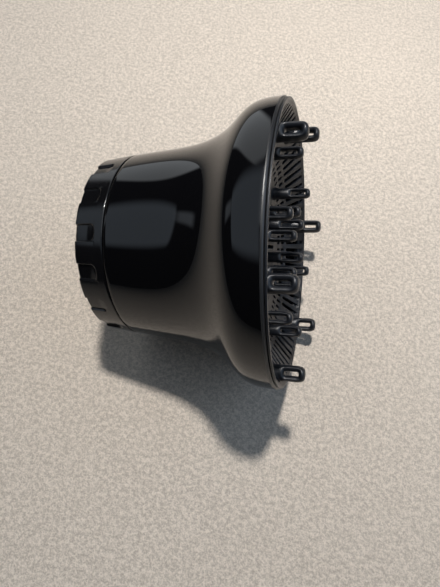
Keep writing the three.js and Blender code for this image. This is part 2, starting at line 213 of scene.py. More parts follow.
def rounded(points, radius=0.3, steps=3, closed=True):
    """Rounds the corners of a polyline; a corner may carry its own radius as a third number."""
    out = []
    n = len(points)
    for i, q in enumerate(points):
        p = np.array(q[:2], float)
        r = q[2] if len(q) > 2 else radius
        if (not closed and i in (0, n - 1)) or r <= 0:
            out.append(tuple(p))
            continue
        a = np.array(points[(i - 1) % n][:2], float) - p
        b = np.array(points[(i + 1) % n][:2], float) - p
        la, lb = np.linalg.norm(a), np.linalg.norm(b)
        a, b = a / la, b / lb
        turn = math.acos(max(-1, min(1, float(a @ b))))
        if turn > rad(172):
            out.append(tuple(p))
            continue
        cut = min(r / math.tan(turn / 2), 0.48 * la, 0.48 * lb)
        rr = cut * math.tan(turn / 2)
        mid = (a + b) / np.linalg.norm(a + b)
        c = p + mid * rr / math.sin(turn / 2)
        s0, s1 = p + a * cut - c, p + b * cut - c
        full = math.atan2(s0[0] * s1[1] - s0[1] * s1[0], float(s0 @ s1))
        for k in range(steps + 1):
            t = full * k / steps
            out.append((c[0] + s0[0] * math.cos(t) - s0[1] * math.sin(t),
                        c[1] + s0[0] * math.sin(t) + s0[1] * math.cos(t)))
    return out


def prism(outline, s0, s1, bevel=0.35, steps=2):
    """An extruded outline (x, y) with rounded edges round both ends."""
    o = np.asarray(outline, float)
    n = len(o)
    area = 0.5 * np.sum(o[:, 0] * np.roll(o[:, 1], -1) - o[:, 1] * np.roll(o[:, 0], -1))
    if area < 0:
        o = o[::-1].copy()
    e = np.roll(o, -1, 0) - o
    e /= np.linalg.norm(e, axis=1)[:, None]
    nrm = np.stack([e[:, 1], -e[:, 0]], 1)
    both = nrm + np.roll(nrm, 1, 0)
    both /= np.maximum(0.6, (both * np.roll(nrm, 1, 0)).sum(1))[:, None]
    levels = [(s0 + bevel * (1 - math.cos(rad(90) * k / steps)), bevel * (1 - math.sin(rad(90) * k / steps))) for k in range(steps + 1)]
    levels += [(s0 + s1 - s, d) for s, d in levels[::-1]]
    v = []
    for s, d in levels:
        v += [(o[i, 0] - both[i, 0] * d, o[i, 1] - both[i, 1] * d, s) for i in range(n)]
    f = [tuple(range(n - 1, -1, -1)), tuple(range((len(levels) - 1) * n, len(levels) * n))]
    for k in range(len(levels) - 1):
        f += [(k * n + i, k * n + (i + 1) % n, (k + 1) * n + (i + 1) % n, (k + 1) * n + i) for i in range(n)]
    return np.array(v), f


def turned_by(verts, deg):
    c, s = math.cos(rad(deg)), math.sin(rad(deg))
    v = np.asarray(verts, float)
    return np.stack([v[:, 0] * c - v[:, 1] * s, v[:, 0] * s + v[:, 1] * c, v[:, 2]], 1)


def merged(parts):
    verts, faces, at = [], [], 0
    for v, f in parts:
        verts.append(np.asarray(v, float))
        faces += [tuple(int(i) + at for i in q) for q in f]
        at += len(v)
    return np.concatenate(verts), faces


def carve(ob, cutters, sharp=38):
    """Cuts closed meshes out of ob for good."""
    tool = finish_mesh(ob.name + "_tool", *merged(cutters))
    m = ob.modifiers.new("cut", "BOOLEAN")
    m.operation, m.solver, m.object = "DIFFERENCE", "EXACT", tool
    m.use_self = False
    bpy.context.view_layer.update()
    dg = bpy.context.evaluated_depsgraph_get()
    me = bpy.data.meshes.new_from_object(ob.evaluated_get(dg))
    ob.modifiers.clear()
    old = ob.data
    ob.data = me
    me.name = ob.name
    bpy.data.meshes.remove(old)
    bpy.data.objects.remove(tool)
    shade(ob, sharp)
    return ob


def rod(x, y, s0, s1, r, n=28):
    return spun([(s0, 0), (s0, r), (s1, r), (s1, 0)], n, x, y)


def arc(cx, cy, r, a0, a1, n):
    return [(cx + r * math.cos(rad(a)), cy + r * math.sin(rad(a))) for a in np.linspace(a0, a1, n)]


# ------------------------------------------------------------------ materials
class Nodes:
    """A small helper for node materials."""

    def __init__(self, name):
        self.m = bpy.data.materials.new(name)
        self.m.use_nodes = True
        self.t = self.m.node_tree
        self.b = self.t.nodes["Principled BSDF"]
        self.coord = self.t.nodes.new("ShaderNodeTexCoord")

    def link(self, a, b):
        self.t.links.new(a, b)

    def noise(self, scale, detail=3.0, rough=0.5, stretch=None, distortion=0.0):
        n = self.t.nodes.new("ShaderNodeTexNoise")
        n.inputs["Scale"].default_value = scale
        n.inputs["Detail"].default_value = detail
        n.inputs["Roughness"].default_value = rough
        n.inputs["Distortion"].default_value = distortion
        if stretch:
            mp = self.t.nodes.new("ShaderNodeMapping")
            mp.inputs["Scale"].default_value = stretch[0]
            mp.inputs["Rotation"].default_value = stretch[1]
            self.link(self.coord.outputs["Object"], mp.inputs["Vector"])
            self.link(mp.outputs["Vector"], n.inputs["Vector"])
        else:
            self.link(self.coord.outputs["Object"], n.inputs["Vector"])
        return n.outputs["Fac"]

    def cells(self, scale, feature="F1"):
        n = self.t.nodes.new("ShaderNodeTexVoronoi")
        n.feature = feature
        n.inputs["Scale"].default_value = scale
        self.link(self.coord.outputs["Object"], n.inputs["Vector"])
        return n.outputs["Distance"]

    def ramp(self, value, a, b, lo=0.0, hi=1.0):
        n = self.t.nodes.new("ShaderNodeMapRange")
        n.interpolation_type = "SMOOTHSTEP"
        n.inputs["From Min"].default_value, n.inputs["From Max"].default_value = a, b
        n.inputs["To Min"].default_value, n.inputs["To Max"].default_value = lo, hi
        self.link(value, n.inputs["Value"])
        return n.outputs["Result"]

    def math(self, op, a, b):
        n = self.t.nodes.new("ShaderNodeMath")
        n.operation = op
        for k, x in enumerate((a, b)):
            if isinstance(x, (int, float)):
                n.inputs[k].default_value = x
            else:
                self.link(x, n.inputs[k])
        return n.outputs[0]

    def mix(self, fac, a, b):
        n = self.t.nodes.new("ShaderNodeMix")
        n.data_type = "RGBA"
        if isinstance(fac, (int, float)):
            n.inputs[0].default_value = fac
        else:
            self.link(fac, n.inputs[0])
        for k, x in ((6, a), (7, b)):
            if isinstance(x, (tuple, list)):
                n.inputs[k].default_value = (*x, 1)
            else:
                self.link(x, n.inputs[k])
        return n.outputs[2]

    def bump(self, height, strength, distance, under=None):
        n = self.t.nodes.new("ShaderNodeBump")
        n.inputs["Strength"].default_value = strength
        n.inputs["Distance"].default_value = distance
        self.link(height, n.inputs["Height"])
        if under is not None:
            self.link(under, n.inputs["Normal"])
        return n.outputs["Normal"]

    def edge_wear(self, lo, hi):
        g = self.t.nodes.new("ShaderNodeNewGeometry")
        return self.ramp(g.outputs["Pointiness"], lo, hi)

    def put(self, name, value):
        s = self.b.inputs[name]
        if isinstance(value, (int, float)):
            s.default_value = value
        elif isinstance(value, (tuple, list)):
            s.default_value = (*value, 1) if len(value) == 3 else value
        else:
            self.link(value, s)


def gloss_black():
    n = Nodes("gloss_black")
    clouds = n.noise(22, 4, 0.55)
    fine = n.noise(900, 2, 0.5)
    scuff = n.ramp(n.noise(60, 6, 0.75, ((1, 1, 9), (0.3, 0.9, 0.2))), 0.60, 0.78)
    specks = n.ramp(n.cells(420), 0.0, 0.055, 1.0, 0.0)
    dust = n.math("MULTIPLY", specks, n.ramp(n.noise(31, 2), 0.50, 0.68))
    n.put("Base Color", n.mix(n.math("MULTIPLY", dust, 0.35), n.mix(clouds, (0.0014, 0.0014, 0.0019), (0.0026, 0.0025, 0.0030)),
                              (0.10, 0.095, 0.088)))
    rough = n.math("ADD", n.ramp(clouds, 0.3, 0.75, 0.035, 0.075), n.math("MULTIPLY", scuff, 0.06))
    n.put("Roughness", n.math("ADD", rough, n.math("MULTIPLY", dust, 0.30)))
    n.put("IOR", 1.52)
    n.put("Normal", n.bump(fine, 0.05, 0.00002, n.bump(n.noise(34, 1.5, 0.4), 0.06, 0.0006)))
    return n.m


def dull_lip_painted_sheen():
    n = Nodes("gloss_black_lip_painted_sheen")
    clouds = n.noise(70, 4, 0.6)
    rub = n.ramp(n.noise(240, 5, 0.7), 0.45, 0.75)
    # the lighter base colour is a painted sheen that brightens the lip into a highlight line; the higher roughness is
    # the real dulling
    n.put("Base Color", n.mix(clouds, (0.0150, 0.0158, 0.0172), (0.0220, 0.0230, 0.0246)))
    n.put("Roughness", n.math("ADD", n.ramp(clouds, 0.3, 0.75, 0.32, 0.40), n.math("MULTIPLY", rub, 0.06)))
    n.put("IOR", 1.52)
    n.put("Normal", n.bump(n.noise(900, 2, 0.5), 0.08, 0.00002))
    return n.m


def collar_black():
    n = Nodes("gloss_black_grip")
    clouds = n.noise(40, 4, 0.6)
    fine = n.noise(1300, 2, 0.5)
    rub = n.ramp(n.noise(150, 5, 0.7), 0.50, 0.80)
    worn = n.edge_wear(0.53, 0.60)
    n.put("Base Color", n.mix(n.math("MULTIPLY", worn, 0.5), n.mix(clouds, (0.0026, 0.0026, 0.0032), (0.0046, 0.0045, 0.0051)),
                              (0.020, 0.020, 0.021)))
    n.put("Roughness", n.math("ADD", n.ramp(clouds, 0.3, 0.75, 0.10, 0.17), n.math("MULTIPLY", rub, 0.10)))
    n.put("IOR", 1.50)
    n.put("Normal", n.bump(fine, 0.10, 0.00003))
    return n.m


def satin_black():
    n = Nodes("satin_black")
    clouds = n.noise(55, 4, 0.6)
    grain = n.cells(2600)
    worn = n.edge_wear(0.52, 0.60)
    n.put("Base Color", n.mix(n.math("MULTIPLY", worn, 0.6), n.mix(clouds, (0.0080, 0.0096, 0.0134), (0.0126, 0.0146, 0.0190)),
                              (0.030, 0.031, 0.033)))
    n.put("Roughness", n.math("SUBTRACT", n.ramp(clouds, 0.3, 0.75, 0.34, 0.42), n.math("MULTIPLY", worn, 0.08)))
    n.put("IOR", 1.50)
    n.put("Specular IOR Level", 0.42)
    n.put("Normal", n.bump(grain, 0.16, 0.00004, n.bump(n.noise(700, 3, 0.6), 0.10, 0.00005)))
    return n.m


def inner_grey():
    n = Nodes("inner_grey")
    clouds = n.noise(70, 4, 0.6)
    grain = n.noise(1800, 3, 0.65)
    worn = n.edge_wear(0.52, 0.60)
    n.put("Base Color", n.mix(n.math("MULTIPLY", worn, 0.5), n.mix(clouds, (0.038, 0.039, 0.042), (0.058, 0.060, 0.063)),
                              (0.11, 0.11, 0.115)))
    n.put("Roughness", n.ramp(clouds, 0.3, 0.75, 0.44, 0.58))
    n.put("IOR", 1.53)
    n.put("Normal", n.bump(grain, 0.2, 0.00005))
    return n.m


def seal_rubber():
    n = Nodes("seal_rubber")
    clouds = n.noise(120, 4, 0.6)
    grain = n.noise(2600, 4, 0.7)
    bloom = n.ramp(n.noise(260, 5, 0.7), 0.52, 0.76)
    n.put("Base Color", n.mix(n.math("MULTIPLY", bloom, 0.35), n.mix(clouds, (0.012, 0.012, 0.013), (0.022, 0.022, 0.023)),
                              (0.055, 0.054, 0.052)))
    n.put("Roughness", n.ramp(clouds, 0.3, 0.75, 0.62, 0.80))
    n.put("Sheen Weight", 0.12)
    n.put("Sheen Roughness", 0.5)
    n.put("Normal", n.bump(grain, 0.3, 0.00006))
    return n.m


def spring_steel():
    n = Nodes("spring_steel")
    drawn = n.noise(900, 4, 0.7, ((1, 1, 12), (0.2, 0.5, 0.1)))
    tint = n.noise(160, 4, 0.6)
    n.put("Base Color", n.mix(n.ramp(tint, 0.35, 0.7), (0.50, 0.50, 0.51), (0.66, 0.66, 0.67)))
    n.put("Metallic", 1.0)
    n.put("Roughness", n.ramp(drawn, 0.3, 0.7, 0.20, 0.36))
    n.put("Normal", n.bump(drawn, 0.15, 0.00003))
    return n.m


LOOK = {"gloss_black": gloss_black(), "satin_black": satin_black(), "inner_grey": inner_grey(),
        "seal_rubber": seal_rubber(), "spring_steel": spring_steel()}
GRIP = collar_black()


def dress(ob, node, material=None):
    """Takes the place of a CAD node: same body, same material slot."""
    ob.data.materials.clear()
    ob.data.materials.append(material or LOOK[SLOT_OF[node]])
    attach(ob, BODY_OF[node])
    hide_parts(node)
    return ob


# ------------------------------------------------------------------ bell shell
def build_shell():
    ss = np.concatenate([np.linspace(18.1, 60, 30)[:-1], np.linspace(60, 102.4, 62)])
    outer = [(17.5, 53.15), (17.58, 53.45), (17.80, 53.74), (18.1, 53.90)]
    outer += [(s, float(bell_r(s))) for s in ss[1:]]
    R = 1.6                                             # rounded lip
    outer += [(102.4 + R * math.sin(rad(a)), RIM_R - R + R * math.cos(rad(a))) for a in np.linspace(8, 90, 11)]
    inner = []
    for s in np.concatenate([np.linspace(96.5, 60, 34), np.linspace(58, 24, 14)]):
        e = 0.25
        slope = float(bell_r(min(s + e, 102.4)) - bell_r(s - e)) / (2 * e)
        l = math.hypot(1, slope)
        inner.append((s + slope / l * 2.5, float(bell_r(s)) - 2.5 / l))
    loop = outer + [(104.0, 76.0), (103.8, 75.7), (103.5, 75.6), (99.7, 75.6), (99.5, 75.75)] + inner
    loop += [(22.9, 51.7), (22.6, 51.4), (22.5, 51.0), (22.5, 37.3), (22.3, 37.0), (20.2, 37.0), (20.0, 37.3),
             (20.0, 50.2), (19.8, 50.6), (17.7, 50.6), (17.5, 50.8)]
    ob = finish_mesh("bell_shell", *lathe(loop, 288), sharp=30)
    carve(ob, [rod(SCREW_R * math.cos(rad(a)), SCREW_R * math.sin(rad(a)), 18.5, 24.5, 1.7) for a in SCREW_ANGLES], 30)
    dress(ob, "body_shell")
    # handling has dulled the lip of the rim, and its lighter base colour is a painted sheen line along it
    ob.data.materials.append(dull_lip_painted_sheen())
    for f in ob.data.polygons:
        off = (f.center - ORIGIN) * 1000
        if off.dot(AX) > 102.5 and (off - AX * off.dot(AX)).length > 76.5:
            f.material_index = 1
    return ob


# ----------------------------------------------------------------- twist collar
def build_collar():
    def smooth(x):
        x = np.clip(x, 0, 1)
        return x * x * (3 - 2 * x)

    # columns: close together where the walls of the recesses are
    half = RECESS_ANGLE / 2
    pitch = 360.0 / PADS
    offs = np.concatenate([np.linspace(0, half - 0.95, 9)[:-1], np.linspace(half - 0.95, half + 0.75, 13)[:-1],
                           np.linspace(half + 0.75, pitch / 2, 8)])
    one = np.concatenate([-offs[1:][::-1][1:], offs])
    cols = np.sort(np.concatenate([one + pitch * k for k in range(PADS)]))
    rows = np.concatenate([[0.0, 0.05, 0.14, 0.28, 0.46, 0.68, 0.95], np.linspace(1.4, 8.2, 12), np.linspace(8.5, 13.0, 31),
                           np.linspace(13.4, 16.2, 7), [16.45, 16.65, 16.82, 16.94, 17.0]])
    at = lambda s: 52.1 + 1.7 * s / 17.0
    w = 52.1 * math.sin(rad(half))
    A = cols[:, None]
    S = rows[None, :]
    off = (A + pitch / 2) % pitch - pitch / 2
    across = np.abs(52.1 * np.radians(off)) + 0 * S
    end = RECESS_LENGTH - 2.9
    # distance inside the pocket's outline: straight sides, a scooped front end
    side = w - across
    q = np.clip((S - end) / 2.9, 0, None) ** 2.2 + np.clip(across / w, 0, None) ** 2.6
    front = (1 - np.power(np.maximum(q, 1e-9), 1 / 2.4)) * 3.2
    dist = np.where(S > end, np.minimum(front, side + 0.0), side)
    depth = PAD_STEP * smooth((dist + 0.18) / 0.62)
    # the scoop runs out towards the front
    depth = depth * (1 - 0.45 * smooth((S - 7.0) / 5.4))
    r = at(S) - depth
    # the pads' crowns are very slightly domed
    r = r - 0.05 * smooth(1 - (-side) / 2.4) * (side < 0) * (S < RECESS_LENGTH)
    # rounded rear and front edges
    re, fe = 0.95, 0.7
    r = r - np.where(S < re, re - np.sqrt(np.maximum(re ** 2 - (re - S) ** 2, 0)), 0) * 0.95
    r = r - np.where(S > 17 - fe, fe - np.sqrt(np.maximum(fe ** 2 - (S - 17 + fe) ** 2, 0)), 0)
    n, m = r.shape
    tail = rounded([(17.0, 51.0, 0), (17.0, 47.9, 0.25), (15.4, 47.9, 0.25), (15.4, 50.0, 0.2), (13.3, 50.0, 0.2), (13.3, 49.0, 0.25),
                    (2.3, 49.0, 0.2), (2.3, 47.6, 0.0), (0.35, 47.6, 0.25), (0.35, 48.3, 0.15), (0.0, 48.9, 0.25), (0.0, 49.4, 0)], 0.25, 3, closed=False)
    t = np.array(tail)
    a = np.radians(cols)
    grid = np.zeros((n, m + len(t), 3))
    grid[:, :m, 0] = np.cos(a)[:, None] * r
    grid[:, :m, 1] = np.sin(a)[:, None] * r
    grid[:, :m, 2] = S
    grid[:, m:, 0] = np.cos(a)[:, None] * t[None, :, 1]
    grid[:, m:, 1] = np.sin(a)[:, None] * t[None, :, 1]
    grid[:, m:, 2] = t[None, :, 0]
    M = m + len(t)
    i, j = np.meshgrid(np.arange(n), np.arange(M), indexing="ij")
    f = np.stack([i * M + j, ((i + 1) % n) * M + j, ((i + 1) % n) * M + (j + 1) % M, i * M + (j + 1) % M], -1).reshape(-1, 4)
    # flange round the mouth: its own disc, set a little back, with a rolled lip
    flange = rounded([(0.35, 47.9, 0.1), (2.5, 48.4, 0.1), (2.5, 34.2, 0.5), (2.5, 33.5, 0.7), (0.8, 33.5, 0.6), (0.0, 34.4, 0.5), (0.0, 36.4, 0.4),
                      (0.45, 37.1, 0.3)], 0.3, 4)
    disc = finish_mesh("collar_flange_part", *lathe(flange, 240), sharp=30)
    carve(disc, [rod(PIVOT_R * math.cos(rad(60 * k)), PIVOT_R * math.sin(rad(60 * k)), 1.1, 3.4, 1.8) for k in range(JAWS)], 30)
    ring = finish_mesh("grip_collar", grid.reshape(-1, 3), f, sharp=40)
    bm = bmesh.new()
    bm.from_mesh(ring.data)
    bm.from_mesh(disc.data)
    bm.to_mesh(ring.data)
    bm.free()
    bpy.data.objects.remove(disc)
    shade(ring, 40)
    return dress(ring, "collar_ring", GRIP)


def build_snap_ring():
    gap = math.degrees(2.6 / 47.6)
    sec = rounded([(13.6, 45.6), (13.6, 49.7), (15.1, 49.7), (15.1, 45.6)], 0.25, 2)
    angles = np.linspace(75 + gap, 75 + 360 - gap, 200)
    p = np.array(sec)
    m = len(p)
    v = []
    for k, a in enumerate(angles):
        # the ears either side of the gap are wider
        edge = min(k, len(angles) - 1 - k) / 5.0
        ear = 0.9 * max(0.0, 1 - edge) ** 0.5 if edge < 1 else 0.0
        c, s = math.cos(rad(a)), math.sin(rad(a))
        for ss, rr in p:
            rr = rr - ear * (rr < 47)
            v.append((rr * c, rr * s, ss))
    n = len(angles)
    f = [(i * m + j, (i + 1) * m + j, (i + 1) * m + (j + 1) % m, i * m + (j + 1) % m) for i in range(n - 1) for j in range(m)]
    f += [tuple(range(m)), tuple(range((n - 1) * m, n * m))[::-1]]
    ob = finish_mesh("snap_ring", np.array(v), f, sharp=35)
    return dress(ob, "collar_snap_ring")


def build_o_ring():
    sec = [(16.25 + 0.83 * math.sin(rad(a)), 46.03 + 1.46 * math.cos(rad(a))) for a in np.arange(0, 360, 15)]
    # a fine parting line left by the mould
    sec[0] = (16.25, 46.03 + 1.50)
    ob = finish_mesh("friction_ring", *lathe(sec, 200), sharp=60)
    return dress(ob, "friction_o_ring")


# -------------------------------------------------------------------- cam hub
def cam_path():
    d = (-1.6, 10.0)
    out = []
    for t in np.linspace(0, 1, 17):
        g, th = rad(SWING * t), rad(TWIST * t)
        x, y = PIVOT_R + d[0] * math.cos(g) - d[1] * math.sin(g), d[0] * math.sin(g) + d[1] * math.cos(g)
        out.append((x * math.cos(th) - y * math.sin(th), x * math.sin(th) + y * math.cos(th)))
    return np.array(out)


def around(path, w, cap=8):
    """Outline at distance w round an open path, with round ends."""
    t = np.gradient(path, axis=0)
    t /= np.linalg.norm(t, axis=1)[:, None]
    nn = np.stack([-t[:, 1], t[:, 0]], 1)
    out = [tuple(p) for p in path + nn * w]
    a0 = math.atan2(nn[-1][1], nn[-1][0])
    out += [(path[-1][0] + w * math.cos(a0 - math.pi * k / cap), path[-1][1] + w * math.sin(a0 - math.pi * k / cap)) for k in range(1, cap)]
    out += [tuple(p) for p in (path - nn * w)[::-1]]
    a0 = math.atan2(-nn[0][1], -nn[0][0])
    out += [(path[0][0] + w * math.cos(a0 - math.pi * k / cap), path[0][1] + w * math.sin(a0 - math.pi * k / cap)) for k in range(1, cap)]
    return out


def build_hub():
    prof = rounded([(10, 31, 0.5), (10, 48.6, 0.3), (13, 48.6, 0.3), (13, 45.2, 0.25), (15.3, 45.2, 0.15), (15.3, 44.2, 0.2),
                    (17.2, 44.2, 0.2), (17.2, 45.2, 0.15), (19.7, 45.2, 0.3), (19.7, 43.0, 0.2), (13, 43.0, 0.35), (13, 33.4, 0.35),
                    (17.6, 33.4, 0.4), (17.6, 31.0, 0.4)], 0.25, 3)
    ob = finish_mesh("cam_plate", *lathe(prof, 216), sharp=30)
    slot = around(cam_path(), 1.7)
    cut = []
    for k in range(JAWS):
        v, f = prism(slot, 9.0, 14.0, 0.01, 1)
        cut.append((turned_by(v, 60 * k), f))
    # shallow lightening pockets between the slots, on the rear face
    for k in range(JAWS):
        pk = rounded(arc(0, 0, 46.6, -12, -1, 6) + arc(0, 0, 44.6, -1, -12, 6), 0.5, 2)
        v, f = prism(pk, 9.0, 10.7, 0.01, 1)
        cut.append((turned_by(v, 60 * k - 2), f))
    carve(ob, cut, 30)
    posts = []
    for a in SCREW_ANGLES:
        x, y = SCREW_R * math.cos(rad(a)), SCREW_R * math.sin(rad(a))
        v, f = lathe(rounded([(12.4, 3.4, 0), (19.7, 3.4, 0.3), (19.7, 1.5, 0.15), (12.4, 1.5, 0)], 0.2, 2), 40)
        posts.append((v + np.array([x, y, 0]), f))
        for g in (90, 210, 330):                        # gussets at the foot of a post
            v2, f2 = prism([(3.2, -0.5), (5.4, -0.5), (5.4, 0.5), (3.2, 0.5)], 12.6, 15.4, 0.15, 1)
            v2 = v2.copy()
            top = v2[:, 2] > 14
            v2[top & (v2[:, 0] > 4.5), 0] = 3.9
            v2 = turned_by(v2, a + g) + np.array([x, y, 0])
            posts.append((v2, f2))
    extra = finish_mesh("hub_posts", *merged(posts), sharp=30)
    bm = bmesh.new()
    bm.from_mesh(ob.data)
    bm.from_mesh(extra.data)
    bm.to_mesh(ob.data)
    bm.free()
    bpy.data.objects.remove(extra)
    shade(ob, 30)
    return dress(ob, "cam_hub")


def build_screws():
    for k, a in enumerate(SCREW_ANGLES):
        x, y = SCREW_R * math.cos(rad(a)), SCREW_R * math.sin(rad(a))
        head = [(24.80, 0), (24.79, 0.6), (24.70, 1.4), (24.45, 2.1), (24.05, 2.62), (23.55, 2.92), (23.1, 3.0), (22.85, 2.95), (22.8, 2.8), (22.8, 1.25)]
        shank = []
        s = 22.3
        while s > 15.2:                                  # rolled thread
            shank += [(s, 0.98), (s - 0.24, 1.19), (s - 0.34, 1.19), (s - 0.58, 0.98)]
            s -= 0.72
        prof = head + [(22.5, 1.0)] + shank + [(14.7, 0.85), (14.1, 0.3), (14.0, 0)]
        ob = finish_mesh(f"post_screw_{k + 1}", *spun(prof, 40, x, y), sharp=35)
        cross = []
        for g in (0, 90):
            v, f = prism([(-1.75, -0.38), (1.75, -0.38), (1.75, 0.38), (-1.75, 0.38)], 23.6, 25.4, 0.01, 1)
            v = v.copy()
            v[v[:, 2] < 24.5, 0] *= 0.55
            cross.append((turned_by(v, g + 17 * k) + np.array([x, y, 0]), f))
        carve(ob, [cross[0]], 35)
        carve(ob, [cross[1]], 35)
        dress(ob, f"hub_screw_{k + 1}")


# ----------------------------------------------------------------------- jaws
def build_jaws():
    inner, outer, tip = 35.6, 45.6, 46.0
    line = arc(PIVOT_R, 0, 4.6, 20, -200, 22)
    line += [(r * math.cos(rad(a)), r * math.sin(rad(a))) for r, a in
             [(inner + 2.6, 9), (inner + 1.4, 11.8), (inner + 0.6, 15), (inner + 0.15, 18.5), (inner, 22)]]
    line += arc(0, 0, inner, 25, 44.5, 10)
    line += rounded([(inner * math.cos(rad(44.6)), inner * math.sin(rad(44.6)), 0), ((inner + 0.2) * math.cos(rad(tip)), (inner + 0.2) * math.sin(rad(tip)), 1.0),
                     ((outer - 0.8) * math.cos(rad(tip + 0.4)), (outer - 0.8) * math.sin(rad(tip + 0.4)), 2.6),
                     (outer * math.cos(rad(41)), outer * math.sin(rad(41)), 0)], 1.0, 5, closed=False)[1:]
    line += arc(0, 0, outer, 40, 22, 9)
    line += [(r * math.cos(rad(a)), r * math.sin(rad(a))) for r, a in [(outer + 0.2, 18.5), (outer + 0.6, 15), (outer + 1.1, 12), (outer + 1.6, 9)]]
    pocket = rounded(arc(0, 0, 43.6, 21, 41, 8) + arc(0, 0, 38.0, 41, 21, 8), 1.1, 4)
    cam = (PIVOT_R - 1.6, 10.0)
    for k in range(JAWS):
        turn = 60 * k
        v, f = prism(line, 2.8, 9.7, 0.45, 3)
        jaw = finish_mesh(f"jaw_arm_{k + 1}", turned_by(v, turn), f, sharp=30)
        cuts = []
        v, f = rod(PIVOT_R, 0, 0, 12, 1.8)
        cuts.append((turned_by(v, turn), f))
        v, f = prism(pocket, 1.5, 4.6, 0.01, 1)
        cuts.append((turned_by(v, turn), f))
        carve(jaw, cuts, 30)
        # stiffening ribs in the pocket, the cam pin and its collar
        extra = []
        for a in (26.5, 31.0, 35.5):
            rib = [(37.6 * math.cos(rad(a - 0.55)), 37.6 * math.sin(rad(a - 0.55))), (44.0 * math.cos(rad(a - 0.5)), 44.0 * math.sin(rad(a - 0.5))),
                   (44.0 * math.cos(rad(a + 0.5)), 44.0 * math.sin(rad(a + 0.5))), (37.6 * math.cos(rad(a + 0.55)), 37.6 * math.sin(rad(a + 0.55)))]
            v, f = prism(rib, 3.2, 5.2, 0.12, 1)
            extra.append((turned_by(v, turn), f))
        v, f = spun([(9.0, 0), (9.0, 1.4), (12.2, 1.4), (12.5, 1.28), (12.6, 1.05), (12.6, 0)], 32, *cam)
        extra.append((turned_by(v, turn), f))
        add = finish_mesh("jaw_extra", *merged(extra), sharp=30)
        bm = bmesh.new()
        bm.from_mesh(jaw.data)
        bm.from_mesh(add.data)
        bm.to_mesh(jaw.data)
        bm.free()
        bpy.data.objects.remove(add)
        shade(jaw, 30)
        dress(jaw, f"clamp_jaw_{k + 1}")

        # rubber pad with a ribbed gripping face
        ridge, count = [], 9
        for i in range(count * 4 + 1):
            a = 27.3 + (44.7 - 27.3) * i / (count * 4)
            ridge.append(((33.55 - 0.25 * math.cos(2 * math.pi * i / 4 - math.pi)) if 0 < i < count * 4 else 33.7, a))
        pad = [(r * math.cos(rad(a)), r * math.sin(rad(a))) for r, a in ridge]
        pad += [(34.3 * math.cos(rad(45)), 34.3 * math.sin(rad(45))), (35.1 * math.cos(rad(45)), 35.1 * math.sin(rad(45)))]
        pad += arc(0, 0, 35.3, 44.6, 27.4, 12)
        pad += [(35.1 * math.cos(rad(27)), 35.1 * math.sin(rad(27))), (34.3 * math.cos(rad(27)), 34.3 * math.sin(rad(27)))]
        v, f = prism(pad, 3.4, 9.1, 0.18, 2)
        ob = finish_mesh(f"grip_pad_{k + 1}", turned_by(v, turn), f, sharp=30)
        dress(ob, f"jaw_pad_{k + 1}")

        x, y = PIVOT_R * math.cos(rad(turn)), PIVOT_R * math.sin(rad(turn))
        v, f = spun([(1.2, 0), (1.2, 1.2), (1.45, 1.5), (8.7, 1.5), (8.8, 1.38), (9.0, 1.38), (9.1, 1.5), (9.25, 1.5), (9.45, 1.25), (9.5, 0.95), (9.5, 0.45),
                     (9.3, 0)], 36, x, y)
        ob = finish_mesh(f"pivot_pin_{k + 1}", v, f, sharp=35)
        dress(ob, f"jaw_pin_{k + 1}")


# ------------------------------------------------------------------------ face
VENT_ENDS = [(0.0, 0.48), (0.12, 0.66), (0.36, 0.90), (0.72, 1.10), (1.2, 1.2)]   # round ends: distance in, half width


def vent_half(r, span):
    """Half width of a vent at radius r, or None outside it."""
    if r < span[0] - 1e-6 or r > span[1] + 1e-6:
        return None
    w = float(np.interp(min(r - span[0], span[1] - r), [x for x, _ in VENT_ENDS], [y for _, y in VENT_ENDS]))
    return w if span[1] - span[0] > 5 else 0.30 + 0.52 * w


def under_prong(span, deg):
    for k in RINGS:
        if span[0] < k["r"] + k["d"] / 2 + 0.8 and span[1] > k["r"] - k["d"] / 2 - 0.8:
            for i in range(6):
                d = abs(((deg - k["turn"] - 60 * i) % 360 + 540) % 360 - 180)
                if d < math.degrees((k["d"] / 2 + VENT_W / 2 + 0.5) / k["r"]):
                    return True
    return False


